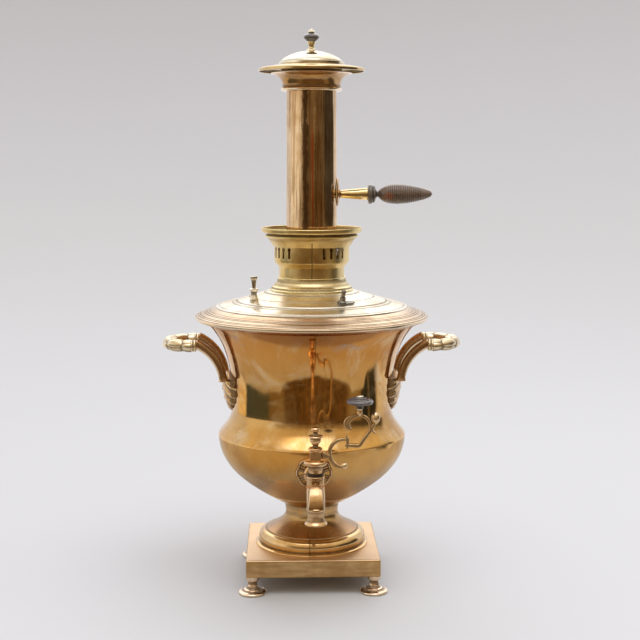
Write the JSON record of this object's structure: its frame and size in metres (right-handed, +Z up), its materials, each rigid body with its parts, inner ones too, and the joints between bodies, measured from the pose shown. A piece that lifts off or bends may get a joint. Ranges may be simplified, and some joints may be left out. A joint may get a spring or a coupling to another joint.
{
  "type": "samovar",
  "caption": "Charcoal samovar: footed brass urn on a square plinth, with a tap, leaf-cast side handles, fire tube, slotted crown and a capped chimney with a wooden grip.",
  "frame": {"origin": "on the urn's vertical axis, at the level of the four feet's soles", "axes": "+Z up along the urn's axis; the tap points to -Y; the pipe handle points to +X and the two side handles to +X and -X"},
  "size_m": [0.33, 0.3117, 0.6031],
  "materials": {
    "plinth_brass": "worn satin",
    "hidden_brass": "dull, oxidised",
    "foot_brass": "worn cast brass",
    "steel": "dull, slightly rusty",
    "body_brass": "polished, with faint spots",
    "rosy_brass": "polished, pinker",
    "sooty_steel": "sooty",
    "grate_iron": "rough, sooty",
    "cast_brass": "cast, dark in the hollows",
    "tap_brass": "polished cast brass",
    "dark_washer": "darkened",
    "black_wood": "ebonised, worn",
    "pale_brass": "polished, pale",
    "chimney_brass": "polished, streaked",
    "dark_wood": "blackened, worn",
    "brown_wood": "dark turned wood with ring grooves"
  },
  "bodies": {
    "samovar": {"plinth": "plinth_brass", "corner_plates": "hidden_brass", "foot_front_left": "foot_brass", "foot_front_right": "foot_brass", "foot_rear_left": "foot_brass", "foot_rear_right": "foot_brass", "foot_nuts": "steel", "pedestal": "body_brass", "bowl": "body_brass", "body_wall": "body_brass", "rim_ring": "rosy_brass", "fire_tube": "sooty_steel", "grate": "grate_iron", "left_handle_loop": "cast_brass", "right_handle_loop": "cast_brass", "left_handle_leaf": "cast_brass", "right_handle_leaf": "cast_brass", "tap_rosette": "cast_brass", "tap_body": "tap_brass"},
    "tap_key": {"tap_plug": "tap_brass", "plug_washer": "dark_washer", "tap_finial": "tap_brass", "scroll_branch": "cast_brass", "branch_knob": "black_wood", "knob_screw": "pale_brass"},
    "lid": {"lid_plate": "pale_brass", "lid_neck": "pale_brass", "lid_post": "cast_brass", "lid_post_screw": "steel", "vent_base": "steel", "vent_nut": "steel", "vent_screw": "steel"},
    "vent_shutter": {"vent_plate": "steel"},
    "crown": {"crown_band": "pale_brass", "crown_dish": "pale_brass"},
    "chimney": {"chimney_tube": "chimney_brass", "chimney_foot": "chimney_brass", "chimney_collar": "rosy_brass", "handle_boss": "chimney_brass", "handle_stem": "chimney_brass", "handle_ring": "dark_wood", "handle_grip": "brown_wood", "handle_tang": "steel"},
    "cap": {"cap_plate": "pale_brass", "cap_sleeve": "hidden_brass", "cap_dome": "pale_brass", "finial_stem": "cast_brass", "finial_knob": "black_wood", "finial_tip": "pale_brass"}
  },
  "joints": [
    {"name": "key_turn", "type": "hinge", "parent": "samovar", "child": "tap_key", "pos_m": [0, -0.155, 0.16], "axis": [0, 0, 1], "range_deg": [-180, 0]},
    {"name": "lid_lift", "type": "slide", "parent": "samovar", "child": "lid", "axis": [0, 0, 1], "range_m": [0, 0.07]},
    {"name": "vent_swing", "type": "hinge", "parent": "lid", "child": "vent_shutter", "pos_m": [0.03045, -0.06591, 0.31429], "axis": [0.1191, -0.2578, 0.9588], "range_deg": [-90, 90]},
    {"name": "crown_lift", "type": "slide", "parent": "lid", "child": "crown", "axis": [0, 0, 1], "range_m": [0, 0.06]},
    {"name": "chimney_lift", "type": "slide", "parent": "crown", "child": "chimney", "axis": [0, 0, 1], "range_m": [0, 0.08]},
    {"name": "cap_lift", "type": "slide", "parent": "chimney", "child": "cap", "axis": [0, 0, 1], "range_m": [0, 0.04]}
  ]
}
